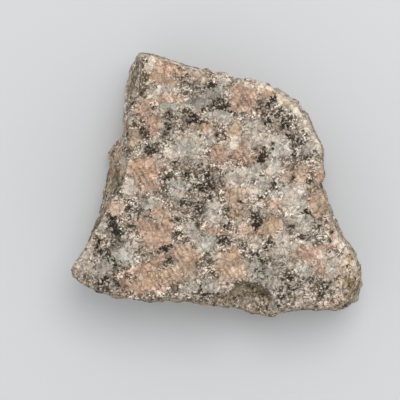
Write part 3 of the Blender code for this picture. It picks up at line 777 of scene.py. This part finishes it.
def make_stone():
    """The whole stone as one closed skin: the smooth stone, moved out by its roughness.

    A point moves along its own ray by the height over how squarely the surface faces that ray, and the base
    is pressed flat where it would reach below the floor.
    """
    box, faces = box_grid()
    points, way, normals = smooth_stone(box)
    fields = mineral_fields(points)
    skin = weathered_skin_less_where_lit(points, normals)
    facing = np.clip((way * normals).sum(axis=1), LEAST_FACING, 1.0)
    height = resting_height(points, normals, roughness(points, normals, fields))
    points = points + way * (height / facing)[:, None]
    points[:, 2] = np.maximum(points[:, 2], 0.0)
    points[:, :2] -= MIDDLE
    mesh = mesh_of("broken_granite", points * METRES_PER_MM, faces)
    mesh.shade_smooth()
    for name, values in {**fields, "skin": skin}.items():
        attribute = mesh.attributes.new(name, "FLOAT", "POINT")
        attribute.data.foreach_set("value", values)
    return in_scene("broken_granite", mesh)


def seen(red, green, blue):
    """The colour of a surface that is seen as this colour, 0 to 255, under the studio light."""
    parts = np.array([red, green, blue]) / 255.0
    curve = ((parts + POWER_OFFSET) / (1.0 + POWER_OFFSET)) ** POWER
    light = np.where(parts <= STRAIGHT_END, parts / STRAIGHT_SLOPE, curve)
    return (*np.minimum(light / SEEN_SHARE, 1.0), 1.0)


class Graph:
    """Adds nodes to one material. An input may be given a value, or another node's output to join to it."""

    def __init__(self, material):
        material.use_nodes = True
        self.tree = material.node_tree

    def node(self, kind, inputs, **settings):
        """A node of this kind with its settings made and its named or numbered inputs filled."""
        node = self.tree.nodes.new("ShaderNode" + kind)
        for name, value in settings.items():
            setattr(node, name, value)
        for name, value in inputs.items():
            if isinstance(value, bpy.types.NodeSocket):
                self.tree.links.new(value, node.inputs[name])
            else:
                node.inputs[name].default_value = value
        return node

    def math(self, operation, *values):
        """One number worked out from others."""
        return self.node("Math", dict(enumerate(values)), operation=operation).outputs[0]

    def vector(self, operation, *values):
        """One vector worked out from others."""
        return self.node("VectorMath", dict(enumerate(values)), operation=operation).outputs[0]

    def total(self, start, *parts):
        """A start with some values added to it, each times its own number."""
        for value, times in parts:
            start = self.math("MULTIPLY_ADD", value, times, start)
        return start

    def dot(self, a, b):
        """The dot product of two vectors."""
        return self.node("VectorMath", {0: a, 1: b}, operation="DOT_PRODUCT").outputs["Value"]

    def blend(self, share, a, b):
        """Colour a, with this share of colour b laid over it."""
        return self.node("Mix", {0: share, 6: a, 7: b}, data_type="RGBA").outputs[2]

    def span(self, value, low, high, to_low=0.0, to_high=1.0):
        """The value carried from one range to another, and held at its ends."""
        inputs = {"Value": value, "From Min": low, "From Max": high, "To Min": to_low, "To Max": to_high}
        return self.node("MapRange", inputs).outputs[0]

    def noise(self, place, size, detail=2.0, fall=0.5, output="Fac"):
        """Noise of this size in millimetres, from 0 to 1; its finer detail falls off by a share."""
        inputs = {"Vector": place, "Scale": 1.0 / size, "Detail": detail, "Roughness": fall}
        return self.node("TexNoise", inputs).outputs[output]

    def cells(self, place, size):
        """Cells of this size in millimetres: the outputs of a Voronoi node, with a colour for each cell."""
        return self.node("TexVoronoi", {"Vector": place, "Scale": 1.0 / size}).outputs

    def parts(self, colour):
        """The three channels of a colour."""
        node = self.node("SeparateColor", {"Color": colour})
        return [node.outputs[name] for name in ("Red", "Green", "Blue")]

    def scaled(self, vector, share):
        """A vector or colour times a number."""
        return self.node("VectorMath", {"Vector": vector, "Scale": share}, operation="SCALE").outputs[0]

    def field(self, name):
        """A field stored on the surface."""
        return self.node("Attribute", {}, attribute_name=name).outputs["Fac"]


class Granite(Graph):
    """The granite, worked out in millimetres from the stone's own coordinates and its stored fields.

    Space is shared out into ragged cells of three sizes, and each cell draws its own chances from 0 to 1.
    """

    def __init__(self, material):
        super().__init__(material)
        self.place = self.scaled(self.node("TexCoord", {}).outputs["Object"], 1.0 / METRES_PER_MM)
        wander = self.noise(self.place, WANDER_SIZE, output="Color")
        wander = self.vector("SUBTRACT", wander, NOISE_MIDDLE)
        self.ragged = self.vector("MULTIPLY_ADD", wander, (WANDER_REACH,) * 3, self.place)
        self.block, self.block_tint, self.block_turn = self.draws(BLOCK_CELL)
        self.chance, self.tint, self.turn = self.draws(GRAIN_CELL)
        self.speck, self.flash, self.dust = self.draws(GRIT_CELL)
        self.flashing = self.math("GREATER_THAN", self.flash, FLASH_FROM)
        self.crumble = self.noise(self.place, CRUMBLE_SIZE)
        self.patchy = self.span(self.noise(self.place, PATCH_SIZE), *PATCH_SPAN)
        self.blush = self.math("MAXIMUM", self.field("pink"), self.field("tan"))
        self.pepper = self.span(self.field("pepper"), *PEPPER_DEPTHS)
        # Painted highlight: a pale band on the rims that catch the light.
        self.rim_highlight = self.math("MULTIPLY", self.has("rim_highlight", RIM_HIGHLIGHT_SPREAD, self.turn), RIM_HIGHLIGHT_COVER)
        # Olive stain, also painted shade in the scoop and on walls turned from the light.
        olive_and_shade = self.has("olive_and_shade", OLIVE_AND_SHADE_SPREAD, self.chance)
        self.olive_and_shade = self.math("MULTIPLY", olive_and_shade, self.total(OLIVE_AND_SHADE_COVER[0], (self.patchy, OLIVE_AND_SHADE_COVER[1])))
        clear = self.math("MAXIMUM", self.field("quartz"), self.field("pale"))
        clear = self.math("MAXIMUM", clear, self.math("MULTIPLY", self.blush, CLEAR_BLUSH))
        # The rims with painted highlight are also drawn as clear, smooth stone.
        self.clear = self.math("MAXIMUM", self.span(clear, *CLEAR_DEPTHS), self.rim_highlight)

    def draws(self, size):
        """The three chances of each cell of this size."""
        return self.parts(self.cells(self.ragged, size)["Color"])

    def has(self, name, spread, draw):
        """Whether a cell has a mineral: its field, moved up or down by the cell's chance, is above 0."""
        moved = self.math("MULTIPLY_ADD", draw, spread, -spread / 2.0)
        held = self.math("MAXIMUM", self.field(name), HELD_LEAST)
        return self.span(self.math("ADD", held, moved), -HELD_EDGE, HELD_EDGE)

    def between(self, share, colours):
        """The colour at this share of the way from the first to the second of two seen colours."""
        return self.blend(share, *(seen(*colour) for colour in colours))

    def minerals(self):
        """The ground between the crystals, with each mineral's colour laid over the cells that have it."""
        colour = self.between(self.block_tint, GROUND)
        colour = self.blend(self.span(self.blush, *BLUSH_REACH, 0.0, BLUSH_COVER), colour, seen(*BLUSH))
        chances = {
            "quartz": (self.chance, self.block_tint),
            "tan": (self.turn, self.tint),
            "pale": (self.flash, self.tint),
            "pink": (self.chance, self.block_tint),
            "ochre": (self.dust, self.tint),
        }
        for name, (*colours, spread, cover) in MINERALS.items():
            draw, tint = chances[name]
            held = self.math("MULTIPLY", self.has(name, spread, draw), cover)
            colour = self.blend(held, colour, self.between(tint, colours))
        return colour

    def with_stains_and_painted_light(self, colour):
        """The colour with the skin of the walls, painted highlight on the rims, and the greenish-brown and
        rust stains, the first partly painted shade.
        """
        skin = self.math("MULTIPLY", self.math("MULTIPLY", self.field("skin"), self.patchy), SKIN_COVER)
        rust = self.math("MULTIPLY", self.has("rust", RUST_SPREAD, self.tint), self.patchy)
        colour = self.blend(skin, colour, seen(*SKIN))
        # Painted highlight over the rims that catch the light.
        colour = self.blend(self.rim_highlight, colour, seen(*HIGHLIGHT_CREAM))
        # Olive stain, also painted shade in the scoop and on walls turned from the light.
        colour = self.blend(self.olive_and_shade, colour, seen(*OLIVE_AND_SHADE))
        return self.blend(self.math("MULTIPLY", rust, RUST_COVER), colour, seen(*RUST))

    def vein_width(self):
        """Half the width of the dark veins: below nothing in clean stone, and greatest inside a mica clot."""
        wisp = self.noise(self.place, WISP_SIZE, FINE_DETAIL)
        mica = self.field("mica")
        return self.total(
            VEIN_START,
            (self.noise(self.place, VEIN_SIZE, FINE_DETAIL, ROUGH_FALL), VEIN_UNEVEN),
            (self.crumble, VEIN_CRUMBLE),
            (self.field("skin"), VEIN_SKIN),
            (self.clear, VEIN_CLEAR),
            (self.pepper, self.total(VEIN_PEPPER[0], (wisp, VEIN_PEPPER[1]))),
            (self.span(mica, *MICA_DEPTHS, 0.0, MICA_MOST), self.total(VEIN_MICA[0], (wisp, VEIN_MICA[1]))),
            (self.span(mica, *CLOT_DEPTHS), VEIN_CLOT),
        )

    def brightness(self, width, inside):
        """How bright each place is: its block, grain and grit, bands in feldspar, and light rims by veins."""
        wild = self.total(
            WILD_START,
            (self.crumble, WILD_CRUMBLE),
            (self.block_turn, WILD_BLOCK),
            (self.clear, WILD_CLEAR),
            (self.pepper, WILD_PEPPER),
        )
        grit = self.total(GRIT_START, (self.speck, GRIT_SHADE), (self.flashing, GRIT_FLASH))
        across = self.math("MULTIPLY", self.dot(self.ragged, BAND_ACROSS), 2.0 * math.pi / BAND_SIZE)
        banded = self.span(self.blush, *BAND_DEPTHS, 0.0, BAND_SHADE)
        bands = self.math("MULTIPLY", self.math("SINE", across), banded)
        rim = self.math("ABSOLUTE", self.math("ADD", inside, RIM_PLACE))
        return self.total(
            BRIGHT_START,
            (self.noise(self.place, SHADE_SIZE, FINE_DETAIL, SHADE_FALL), BRIGHT_SHADE),
            (self.pepper, BRIGHT_PEPPER),
            (self.block, BRIGHT_BLOCK),
            (self.tint, BRIGHT_GRAIN),
            (grit, self.span(wild, 0.0, 1.0, WILD_LEAST, 1.0)),
            (self.span(rim, 0.0, RIM_WIDTH, BRIGHT_RIM, 0.0), self.span(width, *RIM_VEINS)),
            (bands, self.span(self.crumble, *BAND_CRUMBLE)),
            # Painted highlight on the rims.
            (self.rim_highlight, BRIGHT_RIM_HIGHLIGHT),
            # Painted shade in the scoop and on walls turned from the light.
            (self.olive_and_shade, BRIGHT_PAINTED_SHADE),
        )

    def mica(self, width, vein):
        """How much dark mica covers each place, and its colour, which goes from brown to black."""
        line = self.math("SUBTRACT", self.total(LINE_START, (width, LINE_WIDTH)), self.edge_gap(GRIT_CELL))
        line = self.span(line, *LINE_EDGE, 0.0, LINE_COVER)
        crumb = self.total(CRUMB_START, (width, CRUMB_SHARE), (self.speck, CRUMB_CHANCE))
        crumb = self.span(crumb, *CRUMB_EDGE)
        seam = self.span(self.edge_gap(BLOCK_CELL), *SEAM_REACH, SEAM_COVER, 0.0)
        cover = self.math("MAXIMUM", self.math("MAXIMUM", vein, crumb), self.math("MAXIMUM", line, seam))
        cover = self.math("MULTIPLY", cover, self.span(width, *COVER_WIDTHS, *MICA_COVER))
        brown, black = self.between(self.tint, BROWN_MICA), self.between(self.tint, BLACK_MICA)
        dark = self.blend(self.span(width, *BLACK_FROM), brown, black)
        glint = self.math("MULTIPLY", self.flashing, GLINT_COVER)
        return cover, self.blend(glint, dark, seen(*MICA_GLINT))

    def relief(self, vein):
        """The finest relief, in millimetres: each grain's own tilted face, fine roughness, and sunk veins."""
        cell = self.cells(self.ragged, GRAIN_CELL)
        slant = self.vector("SUBTRACT", cell["Color"], NOISE_MIDDLE)
        away = self.vector("SUBTRACT", self.ragged, self.scaled(cell["Position"], GRAIN_CELL))
        return self.total(
            0.0,
            (self.dot(slant, away), FACET_TILT),
            (self.noise(self.place, RELIEF_SIZE, FINE_DETAIL, ROUGH_FALL), FINE_RELIEF),
            (vein, VEIN_DEPTH),
        )

    def edge_gap(self, size):
        """How far each place is from the nearest line between cells, in millimetres."""
        inputs = {"Vector": self.ragged, "Scale": 1.0 / size}
        node = self.node("TexVoronoi", inputs, feature="DISTANCE_TO_EDGE")
        return self.math("MULTIPLY", node.outputs["Distance"], size)


def granite_material():
    """Coarse granite: minerals, stains and painted light, shaded cell by cell, with dark mica between the
    grains.
    """
    material = bpy.data.materials.new("granite_fresh_break")
    granite = Granite(material)
    width = granite.vein_width()
    inside = granite.math("SUBTRACT", width, granite.edge_gap(GRAIN_CELL))
    vein = granite.span(inside, *VEIN_EDGE)
    bright = granite.brightness(width, inside)
    colour = granite.with_stains_and_painted_light(granite.minerals())
    colour = granite.scaled(colour, granite.math("MAXIMUM", bright, BRIGHT_LEAST))
    colour = granite.blend(granite.span(bright, *GLEAM_FROM, 0.0, GLEAM_COVER), colour, seen(*GLEAM))
    cover, dark = granite.mica(width, vein)
    colour = granite.blend(cover, colour, dark)
    height = {"Height": granite.relief(vein), "Distance": METRES_PER_MM, "Strength": 1.0}
    shader = material.node_tree.nodes["Principled BSDF"]
    shader.inputs["Specular IOR Level"].default_value = SPECULAR
    material.node_tree.links.new(colour, shader.inputs["Base Color"])
    material.node_tree.links.new(granite.span(granite.flash, 0.0, 1.0, *MATT), shader.inputs["Roughness"])
    material.node_tree.links.new(granite.node("Bump", height).outputs[0], shader.inputs["Normal"])
    return material


def floor_material():
    """Plain pale matt floor."""
    material = bpy.data.materials.new("pale_floor")
    shader = Graph(material).tree.nodes["Principled BSDF"]
    shader.inputs["Base Color"].default_value = FLOOR_COLOUR
    shader.inputs["Roughness"].default_value = FLOOR_MATT
    return material


def make_floor():
    """A flat square floor under the stone."""
    corners = FLOOR_HALF * np.array([(-1.0, -1.0, 0.0), (1.0, -1.0, 0.0), (1.0, 1.0, 0.0), (-1.0, 1.0, 0.0)])
    mesh = mesh_of("floor", corners, np.array([[0, 1, 2, 3]]))
    mesh.materials.append(floor_material())
    floor = in_scene("floor", mesh)


def aimed_at_stone(place):
    """The turn that points a lamp at the origin: a tip from straight down, then a turn about the upright."""
    tip = math.atan2(math.hypot(place[0], place[1]), place[2])
    return (tip, 0.0, math.atan2(place[1], place[0]) + math.pi / 2.0)


def make_light():
    """One wide soft light beyond the far side of the stone, high up, and an even pale surround."""
    data = bpy.data.lights.new("soft_light", "AREA")
    data.shape = "DISK"
    data.size = LIGHT_SIZE
    data.energy = LIGHT_ENERGY
    light = in_scene("soft_light", data)
    light.location = LIGHT_PLACE
    light.rotation_euler = aimed_at_stone(LIGHT_PLACE)
    light.visible_camera = False
    world = bpy.data.worlds.new("pale_surround")
    world.use_nodes = True
    background = world.node_tree.nodes["Background"]
    background.inputs["Color"].default_value = SURROUND_COLOUR
    background.inputs["Strength"].default_value = SURROUND_STRENGTH
    bpy.context.scene.world = world


def make_camera():
    """A camera looking straight down, whose lens gives the view its width at the view level."""
    data = bpy.data.cameras.new("camera")
    data.sensor_width = SENSOR_WIDTH
    data.lens = SENSOR_WIDTH * (CAMERA_PLACE[2] - VIEW_LEVEL) / VIEW_WIDTH
    camera = in_scene("camera", data)
    camera.location = np.array(CAMERA_PLACE) * METRES_PER_MM
    bpy.context.scene.camera = camera


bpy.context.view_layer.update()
stone = make_stone()
stone.data.materials.append(granite_material())
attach(stone, "root")
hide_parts("rough_rock")
make_floor()
make_light()
make_camera()
bpy.context.scene.view_settings.view_transform = "Standard"
